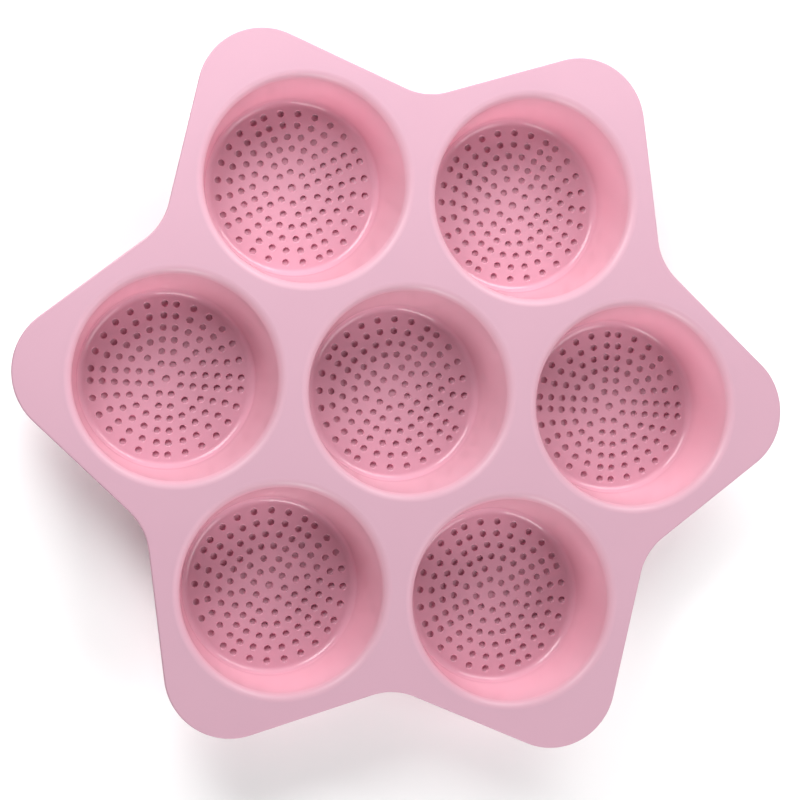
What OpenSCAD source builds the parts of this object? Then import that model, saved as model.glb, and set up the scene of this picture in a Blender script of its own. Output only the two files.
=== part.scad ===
// Star-shaped silicone soap mould: round tapered cups with rounded lips and dimpled floors.
// One cup stands in the middle and six stand around it, one towards each rounded tip of the star.
// The origin is at the middle of the face the tray rests on. +X points at the tip of cup 1.

/* [Star flange] */
// Distance from the middle cup's axis to each outer cup's axis
cup_spacing = 88; // [86:1:92]
// Distance from the middle of the tray to the end of a tip
tip_reach = 148; // [146:1:156]
// Radius of the rounded end of a tip
tip_radius = 25; // [22:1:28]
// Distance from the middle of the tray to the bottom of a notch between two tips
notch_reach = 112.4; // [108:0.2:116]
// Radius of the hollow curve of a notch
notch_radius = 24; // [18:1:30]
// Thickness of the flange, the lips and the cup walls
skin = 1.6; // [1.2:0.1:2]

/* [Cups] */
// Depth of a cup, from the top of the flange to the top of its floor
cup_depth = 30.5; // [26:0.5:40]
// Radius where a cup's rounded lip meets the flat flange
mouth_radius = 41.5; // [40:0.5:42]
// Radius of the flat part of a cup's floor
floor_radius = 31; // [30.8:0.1:32]
// Radius of the rounded lip
lip_radius = 3.5; // [3:0.1:4]
// Inside radius of the corner between floor and wall
inner_corner_radius = 3; // [2.5:0.1:4]
// Outside radius of the same corner
outer_corner_radius = 2; // [1.5:0.1:2.5]
// Thickness of a floor
floor_thickness = 2; // [1.8:0.1:2.4]
// Gap between a floor and the wall around it, which lets the floor be pushed up
floor_gap = 0.3; // [0.2:0.05:0.4]

/* [Floor dimples] */
// Diameter of the dimple in the middle of a floor
middle_dimple_diameter = 3; // [2:0.1:3.4]
// Diameter of every other dimple
dimple_diameter = 2.5; // [1.6:0.1:2.6]
// Depth of every dimple
dimple_depth = 1.2; // [0.6:0.1:1.4]
// Radius of the innermost ring of dimples
first_ring_radius = 6.1; // [6:0.05:6.2]
// Distance from one ring of dimples to the next, and between the two rows along each axis
dimple_pitch = 4.54; // [4.4:0.01:4.55]

/* [Hidden] */
$fn = 96;
outer_cups = 6;
cup_step = 360 / outer_cups;
// Dimples that each ring has between the rows along two neighbouring axes, from the innermost ring outwards
DIMPLES_BETWEEN_ROWS = [0, 1, 3, 4, 5, 5];
row_axes = 4;
row_step = 360 / row_axes;
middle_pattern_turn = -30;

tray_height = cup_depth + floor_thickness;
flange_bottom = tray_height - skin;

// A notch's circle touches a tip's circle along the straight flank between them.
tip_centre = tip_reach - tip_radius;
notch_centre = notch_reach + notch_radius;
notch_turn = cup_step / 2;
from_tip_to_notch = [notch_centre * cos(notch_turn) - tip_centre, notch_centre * sin(notch_turn)];
flank_turn = atan2(from_tip_to_notch.y, from_tip_to_notch.x)
    - acos((tip_radius + notch_radius) / norm(from_tip_to_notch));
flank_at_tip = [tip_centre + tip_radius * cos(flank_turn), tip_radius * sin(flank_turn)];
flank_at_notch = [notch_centre * cos(notch_turn) - notch_radius * cos(flank_turn),
                  notch_centre * sin(notch_turn) - notch_radius * sin(flank_turn)];

// A cup's straight wall touches the lip's curve at the top and the corner's curve at the bottom.
wall_run = mouth_radius - floor_radius;
wall_rise = cup_depth - lip_radius - inner_corner_radius;
wall_lean = acos((lip_radius + inner_corner_radius) / norm([wall_run, wall_rise])) - atan2(wall_rise, wall_run);
across_wall = [cos(wall_lean), -sin(wall_lean)];
lip_centre = [mouth_radius, tray_height - lip_radius];
inner_corner_centre = [floor_radius, floor_thickness + inner_corner_radius];
wall_top_inside = lip_centre - lip_radius * across_wall;
wall_top_outside = wall_top_inside + skin * across_wall;
wall_foot_inside = inner_corner_centre + inner_corner_radius * across_wall;
outer_corner_centre = [
    wall_top_outside.x - (wall_top_outside.y - outer_corner_radius) * tan(wall_lean)
        - outer_corner_radius / cos(wall_lean),
    outer_corner_radius];
wall_foot_outside = outer_corner_centre + outer_corner_radius * across_wall;
floor_edge_radius = floor_radius - 2 * floor_gap;
foot_ring_radius = floor_edge_radius + floor_gap;

function cup_turn(cup) = (cup - 1) * cup_step;

function turned(point, turn) = [
    point.x * cos(turn) - point.y * sin(turn),
    point.x * sin(turn) + point.y * cos(turn)];

function mirrored(point) = [point.x, -point.y];

// Four corners for each tip: where its two flanks leave the tip and where they meet the notches.
function star_corners() = [
    for (tip = [0 : outer_cups - 1], corner = [
        mirrored(flank_at_notch), mirrored(flank_at_tip), flank_at_tip, flank_at_notch])
    turned(corner, tip * cup_step)];

// Places its children on the axis of an outer cup and turns them outwards with it.
module at_cup(cup) {
    rotate(cup_turn(cup)) translate([cup_spacing, 0]) children();
}

module star() {
    difference() {
        union() {
            polygon(star_corners());
            for (tip = [0 : outer_cups - 1]) rotate(tip * cup_step) translate([tip_centre, 0]) circle(tip_radius);
        }
        for (notch = [0 : outer_cups - 1])
            rotate(notch_turn + notch * cup_step) translate([notch_centre, 0]) circle(notch_radius);
    }
}

module flange() {
    color([0.93, 0.76, 0.83]) translate([0, 0, flange_bottom]) linear_extrude(skin) difference() {
        star();
        circle(mouth_radius);
        for (cup = [1 : outer_cups]) at_cup(cup) circle(mouth_radius);
    }
}

// The lip is a band of the ring between two circles, cut off level with the flange and square to the wall.
module cup_lip() {
    color([0.92, 0.74, 0.81]) rotate_extrude() intersection() {
        translate(lip_centre) difference() {
            circle(lip_radius);
            circle(lip_radius - skin);
        }
        polygon([
            lip_centre,
            lip_centre + [0, 2 * lip_radius],
            lip_centre + [-2 * lip_radius, 2 * lip_radius],
            lip_centre - 2 * lip_radius * across_wall]);
    }
}

module wall_profile() {
    difference() {
        union() {
            polygon([
                wall_top_inside,
                [foot_ring_radius, wall_top_inside.y],
                [foot_ring_radius, 0],
                [outer_corner_centre.x, 0],
                outer_corner_centre,
                wall_foot_outside,
                wall_top_outside]);
            translate(outer_corner_centre) circle(outer_corner_radius);
        }
        polygon([
            wall_top_inside,
            wall_foot_inside,
            inner_corner_centre,
            [floor_radius, floor_thickness],
            [0, floor_thickness],
            [0, tray_height],
            [wall_top_inside.x, tray_height]]);
        translate(inner_corner_centre) circle(inner_corner_radius);
    }
}

// The tapered wall, its rounded bottom corner and the flat ring that the cup stands on.
module cup_wall() {
    color([0.93, 0.62, 0.70]) rotate_extrude() wall_profile();
}

// Rings of dimples. In each ring, two dimples stand beside each axis, one in each of its two rows,
// and the others are spread evenly between them.
module dimple_outlines() {
    circle(d = middle_dimple_diameter);
    for (ring = [0 : len(DIMPLES_BETWEEN_ROWS) - 1]) {
        ring_radius = first_ring_radius + ring * dimple_pitch;
        beside_axis = asin(dimple_pitch / 2 / ring_radius);
        gaps = DIMPLES_BETWEEN_ROWS[ring] + 1;
        for (axis = [0 : row_axes - 1], dimple = [0 : gaps])
            rotate(axis * row_step + beside_axis + dimple * (row_step - 2 * beside_axis) / gaps)
                translate([ring_radius, 0]) circle(d = dimple_diameter);
    }
}

module cup_floor() {
    color([0.82, 0.56, 0.64]) difference() {
        linear_extrude(floor_thickness) circle(floor_edge_radius);
        translate([0, 0, floor_thickness - dimple_depth]) linear_extrude(floor_thickness) dimple_outlines();
    }
}

flange();

cup_lip();  // cup_lip_centre
at_cup(1) cup_lip();  // cup_lip_1
at_cup(2) cup_lip();  // cup_lip_2
at_cup(3) cup_lip();  // cup_lip_3
at_cup(4) cup_lip();  // cup_lip_4
at_cup(5) cup_lip();  // cup_lip_5
at_cup(6) cup_lip();  // cup_lip_6

cup_wall();  // cup_wall_centre
at_cup(1) cup_wall();  // cup_wall_1
at_cup(2) cup_wall();  // cup_wall_2
at_cup(3) cup_wall();  // cup_wall_3
at_cup(4) cup_wall();  // cup_wall_4
at_cup(5) cup_wall();  // cup_wall_5
at_cup(6) cup_wall();  // cup_wall_6

rotate(middle_pattern_turn) cup_floor();  // cup_floor_centre
at_cup(1) cup_floor();  // cup_floor_1
at_cup(2) cup_floor();  // cup_floor_2
at_cup(3) cup_floor();  // cup_floor_3
at_cup(4) cup_floor();  // cup_floor_4
at_cup(5) cup_floor();  // cup_floor_5
at_cup(6) cup_floor();  // cup_floor_6
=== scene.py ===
"""Star-shaped silicone soap mould: seven round tapered cups with rounded lips and dimpled floors.

Every shape is a closed shell worked out from the frame's boxes and a few dimensions in metres.
"""
import math
from typing import NamedTuple

import bpy
from mathutils import Matrix, Vector
from mathutils.geometry import delaunay_2d_cdt


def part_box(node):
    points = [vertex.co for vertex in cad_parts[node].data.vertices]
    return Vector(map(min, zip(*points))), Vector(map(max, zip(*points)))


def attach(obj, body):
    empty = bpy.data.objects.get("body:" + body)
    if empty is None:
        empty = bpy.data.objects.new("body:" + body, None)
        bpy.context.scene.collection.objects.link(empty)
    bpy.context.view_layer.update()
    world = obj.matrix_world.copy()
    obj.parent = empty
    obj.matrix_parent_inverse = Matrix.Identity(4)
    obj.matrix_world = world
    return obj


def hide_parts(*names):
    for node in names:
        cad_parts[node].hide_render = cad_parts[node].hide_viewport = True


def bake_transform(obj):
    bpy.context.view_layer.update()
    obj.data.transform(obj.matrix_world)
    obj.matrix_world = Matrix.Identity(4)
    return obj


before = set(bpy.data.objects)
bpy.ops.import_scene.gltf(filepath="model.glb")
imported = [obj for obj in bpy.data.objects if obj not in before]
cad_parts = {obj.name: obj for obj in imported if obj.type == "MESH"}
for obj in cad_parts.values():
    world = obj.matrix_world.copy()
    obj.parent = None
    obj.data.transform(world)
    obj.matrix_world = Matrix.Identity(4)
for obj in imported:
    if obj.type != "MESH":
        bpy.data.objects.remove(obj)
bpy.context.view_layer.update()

# ---------------------------------------------------------------- dimensions

CUPS = ("centre", "1", "2", "3", "4", "5", "6")
OUTER_CUPS = 6
CUP_STEP = 2 * math.pi / OUTER_CUPS

TRAY_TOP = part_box("flange")[1].z
SKIN = TRAY_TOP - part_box("flange")[0].z
FLOOR_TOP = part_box("cup_floor_centre")[1].z
FLOOR_EDGE_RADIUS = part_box("cup_floor_centre")[1].x
TIP_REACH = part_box("flange")[1].x
MOUTH_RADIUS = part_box("cup_lip_centre")[1].x
CUP_SPACING = (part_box("cup_lip_1")[0].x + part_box("cup_lip_1")[1].x) / 2

TIP_RADIUS = 0.025
NOTCH_REACH = 0.1124
NOTCH_RADIUS = 0.024
LIP_RADIUS = 0.0035
INNER_CORNER_RADIUS = 0.003
OUTER_CORNER_RADIUS = 0.002
# In CAD there is this gap round a floor, so that it can slide. Here the floor is wider and fills it.
FLOOR_GAP = 0.0003
FLOOR_RADIUS = FLOOR_EDGE_RADIUS + 2 * FLOOR_GAP
FOOT_RING_RADIUS = FLOOR_EDGE_RADIUS + FLOOR_GAP

MIDDLE_DIMPLE_RADIUS = 0.0015
DIMPLE_RADIUS = 0.00125
DIMPLE_DEPTH = 0.0012
FIRST_RING_RADIUS = 0.0061
DIMPLE_PITCH = 0.00454
DIMPLES_BETWEEN_ROWS = (0, 1, 3, 4, 5, 5)
ROW_AXES = 4
ROW_STEP = 2 * math.pi / ROW_AXES
MIDDLE_PATTERN_TURN = math.radians(-30)

FLANGE_EDGE_ROUNDING = 0.0006
DIMPLE_EDGE_ROUNDING = 0.0003
DIMPLE_FOOT_ROUNDING = 0.0002

# How far up its wall a floor's finish and painted bounce light fade out.
FLOOR_LOOK_RISE = 0.006

# Into how many steps each kind of curve or long side is divided.
ROUND_STEPS = 144
ARC_STEPS = 10
WALL_STEPS = 12
DIMPLE_STEPS = 24
EDGE_STEPS = 3
TIP_STEPS = 28
NOTCH_STEPS = 14
FLANK_STEPS = 12

# Points closer than this, in metres, count as one when a face is filled with triangles.
WELD_DISTANCE = 1e-7

# The straight wall of a cup touches the lip's curve at the top and the corner's curve at the bottom.
wall_run = MOUTH_RADIUS - FLOOR_RADIUS
wall_rise = TRAY_TOP - FLOOR_TOP - LIP_RADIUS - INNER_CORNER_RADIUS
WALL_LEAN = (
    math.acos((LIP_RADIUS + INNER_CORNER_RADIUS) / math.hypot(wall_run, wall_rise))
    - math.atan2(wall_rise, wall_run)
)


def on_circle(radius, angle):
    return Vector((radius * math.cos(angle), radius * math.sin(angle)))


def cup_turn(cup):
    """The angle that a cup and its pattern of dimples are turned by."""
    return MIDDLE_PATTERN_TURN if cup == "centre" else (int(cup) - 1) * CUP_STEP


def cup_axis(cup):
    """Where a cup's axis stands."""
    if cup == "centre":
        return Vector((0, 0))
    return on_circle(CUP_SPACING, cup_turn(cup))


# ---------------------------------------------------------------- shells


def encloses(outline, point):
    """True if the point is inside the closed outline."""
    inside = False
    for a, b in zip(outline, outline[1:] + outline[:1]):
        if (a.y > point.y) != (b.y > point.y):
            if point.x < a.x + (point.y - a.y) * (b.x - a.x) / (b.y - a.y):
                inside = not inside
    return inside


class Shell:
    """Gathers a closed mesh whose corners carry exact normals, so that joined pieces shade as one."""

    def __init__(self):
        self.points = []
        self.faces = []
        self.normals = []

    def loop(self, points):
        """Adds a closed loop of points and returns their numbers."""
        first = len(self.points)
        self.points += [tuple(p) for p in points]
        return list(range(first, len(self.points)))

    def face(self, corners, normals):
        self.faces.append(corners)
        self.normals += [tuple(n) for n in normals]

    def strip(self, low, high, low_normals, high_normals):
        """Joins two loops with quads. From outside, low runs anticlockwise when high is above it."""
        count = len(low)
        for i in range(count):
            j = (i + 1) % count
            self.face(
                (low[i], low[j], high[j], high[i]),
                (low_normals[i], low_normals[j], high_normals[j], high_normals[i]),
            )

    def flat(self, edge, holes, up):
        """Fills the level face between its edge and its round holes with triangles."""
        loops = [edge, *holes]
        numbers = [n for loop in loops for n in loop]
        loop_of = [which for which, loop in enumerate(loops) for _ in loop]
        lines = []
        for loop in loops:
            first = len(lines)
            lines += [(first + i, first + (i + 1) % len(loop)) for i in range(len(loop))]
        flat_points = [Vector(self.points[n][:2]) for n in numbers]
        edge_points = flat_points[: len(edge)]
        whole_hull = 0
        places, _, triangles, sources, _, _ = delaunay_2d_cdt(
            flat_points, lines, [], whole_hull, WELD_DISTANCE)
        normal = (0, 0, 1 if up else -1)
        for triangle in triangles:
            homes = [sources[i][0] for i in triangle]
            middle = sum((places[i] for i in triangle), Vector((0, 0))) / len(triangle)
            if not self.in_face({loop_of[home] for home in homes}, edge_points, middle):
                continue
            corners = [numbers[home] for home in homes]
            self.face(corners if up else corners[::-1], [normal] * len(corners))

    @staticmethod
    def in_face(loops_touched, edge_points, middle):
        """False for a triangle that fills a hole, or one that bridges a hollow outside the edge."""
        if len(loops_touched) > 1:
            return True
        return loops_touched == {0} and encloses(edge_points, middle)

    def piece(self, name, material):
        mesh = bpy.data.meshes.new(name)
        mesh.from_pydata(self.points, [], self.faces)
        mesh.materials.append(material)
        mesh.shade_smooth()
        mesh.normals_split_custom_set(self.normals)
        mesh.validate()
        made = bpy.data.objects.new(name, mesh)
        bpy.context.scene.collection.objects.link(made)
        return made


def arc(centre, radius, start, end):
    """Profile points on an arc, each as a point and the normal away from the centre, both (r, z)."""
    angles = [start + (end - start) * i / ARC_STEPS for i in range(ARC_STEPS + 1)]
    return [(centre + on_circle(radius, a), on_circle(1, a)) for a in angles]


def inward(points):
    """The same profile seen from the other side: its normals point towards the arc's centre."""
    return [(p, -n) for p, n in points]


def straight(start, end):
    """A straight side, with its normal to the right of its direction."""
    along = (end - start).normalized()
    normal = Vector((along.y, -along.x))
    return [(start, normal), (end, normal)]


def tall_side(start, end, normal):
    """A straight side in several steps, so that it can bend as its cup is pushed."""
    return [(start.lerp(end, i / WALL_STEPS), normal) for i in range(WALL_STEPS + 1)]


def revolve(name, sides, axis, material):
    """A closed ring round a cup's axis, made by turning a profile.

    Each side is a run of profile points, and sides meet at sharp edges. The sides go anticlockwise
    round the profile, seen with r to the right and z up.
    """
    shell = Shell()
    directions = [on_circle(1, 2 * math.pi * i / ROUND_STEPS) for i in range(ROUND_STEPS)]

    def ring(point):
        return shell.loop((axis.x + d.x * point.x, axis.y + d.y * point.x, point.y) for d in directions)

    def ring_normals(normal):
        return [(d.x * normal.x, d.y * normal.x, normal.y) for d in directions]

    starts = [ring(side[0][0]) for side in sides]
    for number, side in enumerate(sides):
        before = starts[number]
        for i in range(1, len(side)):
            last = i == len(side) - 1
            after = starts[(number + 1) % len(sides)] if last else ring(side[i][0])
            shell.strip(before, after, ring_normals(side[i - 1][1]), ring_normals(side[i][1]))
            before = after
    return shell.piece(name, material)


def edge_rows(shell, outline, normals, rows):
    """Stacks loops up an upright edge and returns the lowest and the highest.

    outline runs anticlockwise round a plate, or clockwise round a hole or dimple, so that its normals
    point out of the solid. Each row is a height, how far it stands back from the outline, and its
    normal: outwards, upwards.
    """
    loops = []
    for z, inset, (out, up) in rows:
        points = [(p.x - n.x * inset, p.y - n.y * inset, z) for p, n in zip(outline, normals)]
        loops.append((shell.loop(points), [(n.x * out, n.y * out, up) for n in normals]))
    for (low, low_normals), (high, high_normals) in zip(loops, loops[1:]):
        shell.strip(low, high, low_normals, high_normals)
    return loops[0][0], loops[-1][0]


def edge_angles():
    """The angles round a quarter of a turn, for a rounded edge."""
    return [math.pi / 2 * i / EDGE_STEPS for i in range(EDGE_STEPS + 1)]


def rounded_top(z_high, rounding):
    """Rows that round the upper edge of a plate, or the mouth of a dimple."""
    return [
        (z_high - rounding * (1 - math.sin(a)), rounding * (1 - math.cos(a)), (math.cos(a), math.sin(a)))
        for a in edge_angles()
    ]


def rounded_bottom(z_low, rounding):
    """Rows that round the lower edge of a plate."""
    return [
        (z_low + rounding * (1 - math.cos(a)), rounding * (1 - math.sin(a)), (math.sin(a), -math.cos(a)))
        for a in edge_angles()
    ]


def rounded_foot(z_low, rounding):
    """Rows that round the hollow corner at the bottom of a dimple."""
    return [
        (z_low + rounding * (1 - math.cos(a)), -rounding * (1 - math.sin(a)), (math.sin(a), math.cos(a)))
        for a in edge_angles()
    ]


def plain_rim(shell, outline, normals, z_low, z_high):
    """The sharp upright edge of a plate, where another piece carries on."""
    return edge_rows(shell, outline, normals, [(z_low, 0, (1, 0)), (z_high, 0, (1, 0))])


def circle_outline(centre, radius, steps, hole=False):
    """Points round a circle and the normals out of the solid: away from the centre, or into a hole."""
    angles = [2 * math.pi * i / steps for i in range(steps)]
    if hole:
        angles.reverse()
    out = [on_circle(1, a) for a in angles]
    return [centre + d * radius for d in out], [(-d if hole else d) for d in out]


# ---------------------------------------------------------------- star flange


def star_outline():
    """The star's edge, anticlockwise: a round tip, a straight flank, a notch and a flank, six times."""
    tip_centre = Vector((TIP_REACH - TIP_RADIUS, 0))
    notch_turn = CUP_STEP / 2
    notch_centre = on_circle(NOTCH_REACH + NOTCH_RADIUS, notch_turn)
    across = notch_centre - tip_centre
    flank_turn = math.atan2(across.y, across.x) - math.acos((TIP_RADIUS + NOTCH_RADIUS) / across.length)
    flank_start = tip_centre + on_circle(TIP_RADIUS, flank_turn)
    flank_end = notch_centre - on_circle(NOTCH_RADIUS, flank_turn)
    flank_normal = on_circle(1, flank_turn)
    notch_half = notch_turn - flank_turn
    # Reflects a point in the line from the tray's middle to the middle of the notch.
    mirror = Matrix.Rotation(notch_turn, 2) @ Matrix(((1, 0), (0, -1))) @ Matrix.Rotation(-notch_turn, 2)

    sector = []
    for i in range(TIP_STEPS + 1):
        out = on_circle(1, flank_turn * (2 * i / TIP_STEPS - 1))
        sector.append((tip_centre + out * TIP_RADIUS, out))
    for i in range(1, FLANK_STEPS):
        sector.append((flank_start.lerp(flank_end, i / FLANK_STEPS), flank_normal))
    for i in range(NOTCH_STEPS + 1):
        out = on_circle(1, notch_turn - notch_half + 2 * notch_half * i / NOTCH_STEPS)
        sector.append((notch_centre - out * NOTCH_RADIUS, out))
    for i in range(1, FLANK_STEPS):
        sector.append((mirror @ flank_end.lerp(flank_start, i / FLANK_STEPS), mirror @ flank_normal))

    points, normals = [], []
    for tip in range(OUTER_CUPS):
        rotation = Matrix.Rotation(tip * CUP_STEP, 2)
        points += [rotation @ point for point, _ in sector]
        normals += [rotation @ normal for _, normal in sector]
    return points, normals


def flange_skin(material):
    """The flat star, with rounded outer edges and a hole for each cup."""
    shell = Shell()
    outline, normals = star_outline()
    z_low = TRAY_TOP - SKIN
    rows = rounded_bottom(z_low, FLANGE_EDGE_ROUNDING) + rounded_top(TRAY_TOP, FLANGE_EDGE_ROUNDING)
    bottom_edge, top_edge = edge_rows(shell, outline, normals, rows)
    tops, bottoms = [], []
    for cup in CUPS:
        rim = circle_outline(cup_axis(cup), MOUTH_RADIUS, ROUND_STEPS, hole=True)
        bottom, top = plain_rim(shell, *rim, z_low, TRAY_TOP)
        tops.append(top)
        bottoms.append(bottom)
    shell.flat(top_edge, tops, True)
    shell.flat(bottom_edge, bottoms, False)
    return shell.piece("flange_skin", material)


# ---------------------------------------------------------------- cups


def across_wall():
    """The direction out of a cup, square to its wall, in its profile."""
    return on_circle(1, -WALL_LEAN)


def lip_skin(cup, material):
    """The rounded lip: it leaves the flat flange and rolls down into the wall."""
    centre = Vector((MOUTH_RADIUS, TRAY_TOP - LIP_RADIUS))
    top, foot = math.pi / 2, math.pi - WALL_LEAN
    over = arc(centre, LIP_RADIUS, top, foot)
    under = inward(arc(centre, LIP_RADIUS - SKIN, foot, top))
    sides = [over, straight(over[-1][0], under[0][0]), under, straight(under[-1][0], over[0][0])]
    piece = revolve("lip_skin_" + cup, sides, cup_axis(cup), material)

    def roll(point):
        """How far round the lip's curve a point is, from the flange to the wall."""
        across = (point.xy - cup_axis(cup)).length - centre.x
        return (math.atan2(point.z - centre.y, across) - top) / (foot - top)

    mark_depth(piece, roll)
    return piece


def wall_skin(cup, material):
    """The tapered wall, the rounded corner at its bottom and the ring that the cup stands on."""
    out = across_wall()
    top_inside = Vector((MOUTH_RADIUS, TRAY_TOP - LIP_RADIUS)) - out * LIP_RADIUS
    top_outside = top_inside + out * SKIN
    inner_centre = Vector((FLOOR_RADIUS, FLOOR_TOP + INNER_CORNER_RADIUS))
    outer_centre = Vector((
        top_outside.x - (top_outside.y - OUTER_CORNER_RADIUS) * math.tan(WALL_LEAN)
        - OUTER_CORNER_RADIUS / math.cos(WALL_LEAN),
        OUTER_CORNER_RADIUS))
    inner_corner = inward(arc(inner_centre, INNER_CORNER_RADIUS, -WALL_LEAN, -math.pi / 2))
    outer_corner = arc(outer_centre, OUTER_CORNER_RADIUS, -math.pi / 2, -WALL_LEAN)
    ring_top = Vector((FOOT_RING_RADIUS, FLOOR_TOP))
    ring_foot = Vector((FOOT_RING_RADIUS, 0))
    inside = tall_side(top_inside, inner_corner[0][0], -out)
    inside += inner_corner[1:] + [(ring_top, Vector((0, 1)))]
    outside = [(ring_foot, Vector((0, -1)))] + outer_corner
    outside += tall_side(outer_corner[-1][0], top_outside, out)[1:]
    sides = [inside, straight(ring_top, ring_foot), outside, straight(top_outside, top_inside)]
    piece = revolve("wall_skin_" + cup, sides, cup_axis(cup), material)
    mark_depth(piece, lambda point: 1 - (point.z - FLOOR_TOP) / FLOOR_LOOK_RISE)
    return piece


def dimple_places():
    """The middle and radius of each dimple in a floor whose rows lie along X and Y."""
    places = [(Vector((0, 0)), MIDDLE_DIMPLE_RADIUS)]
    for ring, between_rows in enumerate(DIMPLES_BETWEEN_ROWS):
        radius = FIRST_RING_RADIUS + ring * DIMPLE_PITCH
        beside_axis = math.asin(DIMPLE_PITCH / 2 / radius)
        gaps = between_rows + 1
        for axis in range(ROW_AXES):
            for number in range(gaps + 1):
                angle = axis * ROW_STEP + beside_axis + number * (ROW_STEP - 2 * beside_axis) / gaps
                places.append((on_circle(radius, angle), DIMPLE_RADIUS))
    return places


def dimple(shell, centre, radius):
    """A blind round recess with a rounded mouth and foot. Returns the loop of its mouth."""
    outline = circle_outline(centre, radius, DIMPLE_STEPS, hole=True)
    rows = rounded_foot(FLOOR_TOP - DIMPLE_DEPTH, DIMPLE_FOOT_ROUNDING)
    rows += rounded_top(FLOOR_TOP, DIMPLE_EDGE_ROUNDING)
    foot, mouth = edge_rows(shell, *outline, rows)
    shell.face(foot[::-1], [(0, 0, 1)] * DIMPLE_STEPS)
    return mouth


def floor_shell():
    """The shell of one dimpled floor, round the origin and not turned."""
    shell = Shell()
    rim = circle_outline(Vector((0, 0)), FOOT_RING_RADIUS, ROUND_STEPS)
    bottom_edge, top_edge = plain_rim(shell, *rim, 0.0, FLOOR_TOP)
    mouths = [dimple(shell, centre, radius) for centre, radius in dimple_places()]
    shell.flat(top_edge, mouths, True)
    shell.flat(bottom_edge, [], False)
    return shell


def floor_skin(cup, shell, material):
    """A cup's floor: the one shell, turned and moved to the cup."""
    placed = Shell()
    turn = Matrix.Rotation(cup_turn(cup), 3, "Z")
    middle = cup_axis(cup).to_3d()
    placed.points = [tuple(turn @ Vector(p) + middle) for p in shell.points]
    placed.faces = shell.faces
    placed.normals = [tuple(turn @ Vector(n)) for n in shell.normals]
    return placed.piece("floor_skin_" + cup, material)


# ---------------------------------------------------------------- silicone


class FinishAndPaintedBounce(NamedTuple):
    """How one region of the silicone looks. In the cups its colour holds painted bounce light.
    light_through is its share of light that passes through.
    """

    colour: tuple
    roughness: float
    grain: float
    light_through: float


# The wall and floor colours are the flange's pink silicone painted brighter and deeper pink: painted
# bounce light that stands in for light bounced round the cups and coming through their silicone.
FLANGE_FINISH = FinishAndPaintedBounce(colour=(0.55, 0.333, 0.412), roughness=0.55, grain=0.5, light_through=0.12)
WALL_FINISH_AND_PAINTED_BOUNCE = FinishAndPaintedBounce(colour=(0.825, 0.495, 0.583), roughness=0.12, grain=0.15, light_through=0.28)
FLOOR_FINISH_AND_PAINTED_BOUNCE = FinishAndPaintedBounce(colour=(0.75, 0.39, 0.488), roughness=0.25, grain=0.2, light_through=0.15)
# The corner round a floor has the floor's colour, with its painted bounce light, and the gloss of the
# wall.
CORNER_FINISH_AND_PAINTED_BOUNCE = FLOOR_FINISH_AND_PAINTED_BOUNCE._replace(roughness=WALL_FINISH_AND_PAINTED_BOUNCE.roughness)

SILICONE_IOR = 1.41
LIGHT_THROUGH_COLOUR = (1.0, 0.56, 0.66)
CLOUD_TINT = (0.96, 0.95, 0.96)
GLOSS_VARIATION = 0.06
GRAIN_DEPTH = 0.00004

# Patches of noise for each metre of silicone.
CLOUD_SCALE = 35
SMEAR_SCALE = 90
GRAIN_SCALE = 2600

DEPTH = "depth"


def mark_depth(piece, depth_at):
    """Stores at each point how far it is from a material's near finish and painted bounce light, 0, to
    its far ones, 1.
    """
    depths = piece.data.attributes.new(DEPTH, "FLOAT", "POINT")
    depths.data.foreach_set("value", [min(max(depth_at(v.co), 0), 1) for v in piece.data.vertices])


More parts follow.
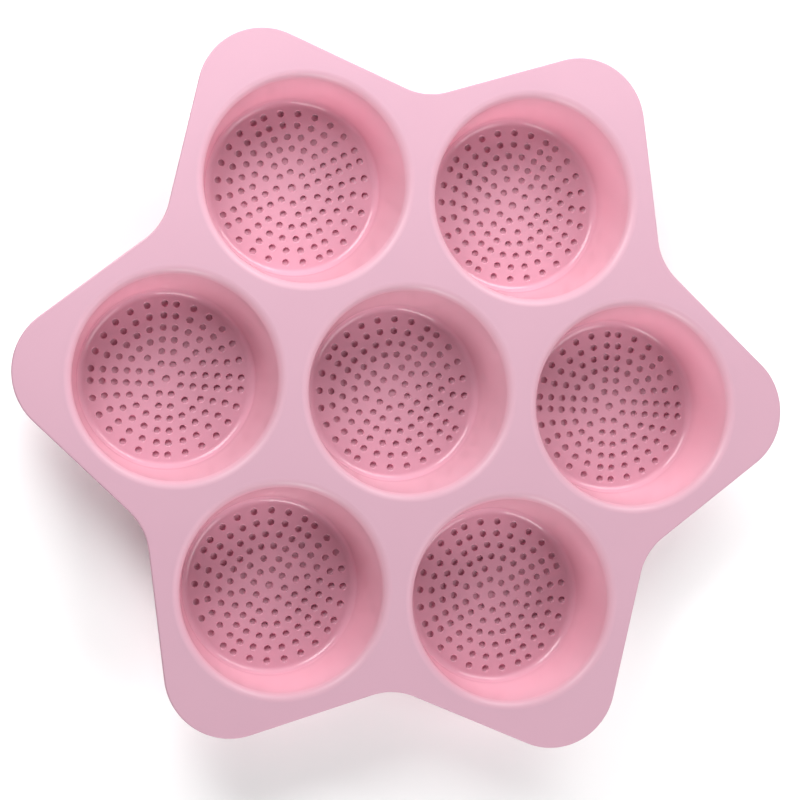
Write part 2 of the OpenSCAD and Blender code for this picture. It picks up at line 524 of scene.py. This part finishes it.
def silicone(name, near, far):
    """Moulded silicone: cloudy pigment, a fine grain, a varying gloss, and light that comes through.

    The finish, with the painted bounce light in its colour, changes from near to far as the piece's
    depth goes from 0 to 1.
    """
    material = bpy.data.materials.new(name)
    material.use_nodes = True
    nodes, links = material.node_tree.nodes, material.node_tree.links
    shader = nodes["Principled BSDF"]
    place = nodes.new("ShaderNodeTexCoord")
    depth = nodes.new("ShaderNodeAttribute")
    depth.attribute_name = DEPTH

    def noise(scale, detail):
        node = nodes.new("ShaderNodeTexNoise")
        node.inputs["Scale"].default_value = scale
        node.inputs["Detail"].default_value = detail
        links.new(place.outputs["Object"], node.inputs["Vector"])
        return node.outputs["Fac"]

    def between(factor, start, end):
        node = nodes.new("ShaderNodeMapRange")
        node.inputs["To Min"].default_value = start
        node.inputs["To Max"].default_value = end
        links.new(factor, node.inputs["Value"])
        return node.outputs["Result"]

    # Blends the near and far colours; the step between them is painted bounce light.
    pigment_and_painted_bounce = nodes.new("ShaderNodeMix")
    pigment_and_painted_bounce.data_type = "RGBA"
    pigment_and_painted_bounce.inputs["A"].default_value = (*near.colour, 1)
    pigment_and_painted_bounce.inputs["B"].default_value = (*far.colour, 1)
    links.new(depth.outputs["Fac"], pigment_and_painted_bounce.inputs["Factor"])
    clouds = nodes.new("ShaderNodeMix")
    clouds.data_type = "RGBA"
    clouds.blend_type = "MULTIPLY"
    clouds.inputs["B"].default_value = (*CLOUD_TINT, 1)
    links.new(noise(CLOUD_SCALE, detail=3), clouds.inputs["Factor"])
    links.new(pigment_and_painted_bounce.outputs["Result"], clouds.inputs["A"])
    links.new(clouds.outputs["Result"], shader.inputs["Base Color"])

    gloss = nodes.new("ShaderNodeMath")
    smears = between(noise(SMEAR_SCALE, detail=2), -GLOSS_VARIATION / 2, GLOSS_VARIATION / 2)
    links.new(between(depth.outputs["Fac"], near.roughness, far.roughness), gloss.inputs[0])
    links.new(smears, gloss.inputs[1])
    links.new(gloss.outputs["Value"], shader.inputs["Roughness"])

    bump = nodes.new("ShaderNodeBump")
    bump.inputs["Distance"].default_value = GRAIN_DEPTH
    links.new(between(depth.outputs["Fac"], near.grain, far.grain), bump.inputs["Strength"])
    links.new(noise(GRAIN_SCALE, detail=2), bump.inputs["Height"])
    links.new(bump.outputs["Normal"], shader.inputs["Normal"])
    shader.inputs["IOR"].default_value = SILICONE_IOR

    through = nodes.new("ShaderNodeBsdfTranslucent")
    through.inputs["Color"].default_value = (*LIGHT_THROUGH_COLOUR, 1)
    links.new(bump.outputs["Normal"], through.inputs["Normal"])
    both = nodes.new("ShaderNodeMixShader")
    links.new(between(depth.outputs["Fac"], near.light_through, far.light_through), both.inputs["Fac"])
    links.new(shader.outputs["BSDF"], both.inputs[1])
    links.new(through.outputs["BSDF"], both.inputs[2])
    links.new(both.outputs["Shader"], nodes["Material Output"].inputs["Surface"])
    return material


# The lip, wall and floor materials carry the cups' painted bounce light in their colours.
flange_silicone = silicone("satin_pink_silicone", FLANGE_FINISH, FLANGE_FINISH)
lip_silicone = silicone("lip_pink_silicone_painted_bounce", FLANGE_FINISH, WALL_FINISH_AND_PAINTED_BOUNCE)
wall_silicone = silicone("glossy_pink_silicone_painted_bounce", WALL_FINISH_AND_PAINTED_BOUNCE, CORNER_FINISH_AND_PAINTED_BOUNCE)
floor_silicone = silicone("smooth_pink_silicone_painted_bounce", FLOOR_FINISH_AND_PAINTED_BOUNCE, FLOOR_FINISH_AND_PAINTED_BOUNCE)

# ---------------------------------------------------------------- assembly

flange = flange_skin(flange_silicone)
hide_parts("flange")
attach(flange, "tray")

one_floor = floor_shell()
for cup in CUPS:
    lip = lip_skin(cup, lip_silicone)
    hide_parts("cup_lip_" + cup)
    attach(lip, "tray")

    wall = wall_skin(cup, wall_silicone)
    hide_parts("cup_wall_" + cup)
    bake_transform(wall)

    floor = floor_skin(cup, one_floor, floor_silicone)
    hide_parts("cup_floor_" + cup)
    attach(floor, "floor_" + cup)

# ---------------------------------------------------------------- stage, light and camera


def ground():
    """A plain pale floor under the tray."""
    half = 6.0
    pale = (0.93, 0.93, 0.93, 1)
    mesh = bpy.data.meshes.new("ground")
    corners = [(-half, -half, 0), (half, -half, 0), (half, half, 0), (-half, half, 0)]
    mesh.from_pydata(corners, [], [(0, 1, 2, 3)])
    material = bpy.data.materials.new("ground")
    material.use_nodes = True
    shader = material.node_tree.nodes["Principled BSDF"]
    shader.inputs["Base Color"].default_value = pale
    shader.inputs["Roughness"].default_value = 0.9
    shader.inputs["Specular IOR Level"].default_value = 0.0
    mesh.materials.append(material)
    made = bpy.data.objects.new("ground", mesh)
    bpy.context.scene.collection.objects.link(made)


def softbox(name, heading, height, distance, size, watts):
    """A round soft light aimed at the tray.

    Its heading is anticlockwise from +X and its height is above level, both in degrees.
    """
    light = bpy.data.lights.new(name, "AREA")
    light.shape = "DISK"
    light.size = size
    light.energy = watts
    lamp = bpy.data.objects.new(name, light)
    level = on_circle(distance * math.cos(math.radians(height)), math.radians(heading))
    lamp.location = (level.x, level.y, distance * math.sin(math.radians(height)))
    lamp.rotation_mode = "QUATERNION"
    lamp.rotation_quaternion = (-lamp.location).to_track_quat("-Z", "Y")
    lamp.visible_camera = False
    bpy.context.scene.collection.objects.link(lamp)


def sky(strength):
    """An even white light from all round."""
    world = bpy.data.worlds.new("studio")
    world.use_nodes = True
    background = world.node_tree.nodes["Background"]
    background.inputs["Color"].default_value = (1, 1, 1, 1)
    background.inputs["Strength"].default_value = strength
    bpy.context.scene.world = world


def camera():
    """Stands high over the tray, a little to its -X side, and turned a little round its own axis."""
    place = Vector((-0.1993, -0.0269, TRAY_TOP + 0.8588))
    target = Vector((-0.0038, -0.0033, TRAY_TOP))
    turn_in_tray = math.radians(3.25)
    sensor, image_width, focal_pixels = 36.0, 800, 2355
    near_clip = 0.01
    forward = (target - place).normalized()
    # The picture's rightward direction has this heading over the tray and is square to the view.
    heading = on_circle(1, turn_in_tray)
    rise = -(heading.x * forward.x + heading.y * forward.y) / forward.z
    right = Vector((heading.x, heading.y, rise)).normalized()
    up = right.cross(forward)
    lens = bpy.data.cameras.new("camera")
    lens.sensor_width = sensor
    lens.lens = sensor * focal_pixels / image_width
    lens.clip_start = near_clip
    made = bpy.data.objects.new("camera", lens)
    made.matrix_world = Matrix((
        (right.x, up.x, -forward.x, place.x),
        (right.y, up.y, -forward.y, place.y),
        (right.z, up.z, -forward.z, place.z),
        (0, 0, 0, 1)))
    bpy.context.scene.collection.objects.link(made)
    bpy.context.scene.camera = made


ground()
sky(strength=0.02)
softbox("key", heading=130, height=40, distance=0.62, size=0.35, watts=3.55)
softbox("upper_right", heading=60, height=32, distance=0.62, size=0.35, watts=2.9)
softbox("top", heading=92, height=38, distance=0.70, size=0.35, watts=0.9)
softbox("front", heading=270, height=26, distance=1.0, size=0.5, watts=7.3)
softbox("right", heading=328, height=40, distance=1.0, size=0.5, watts=3.4)
camera()
bpy.context.scene.view_settings.view_transform = "Standard"
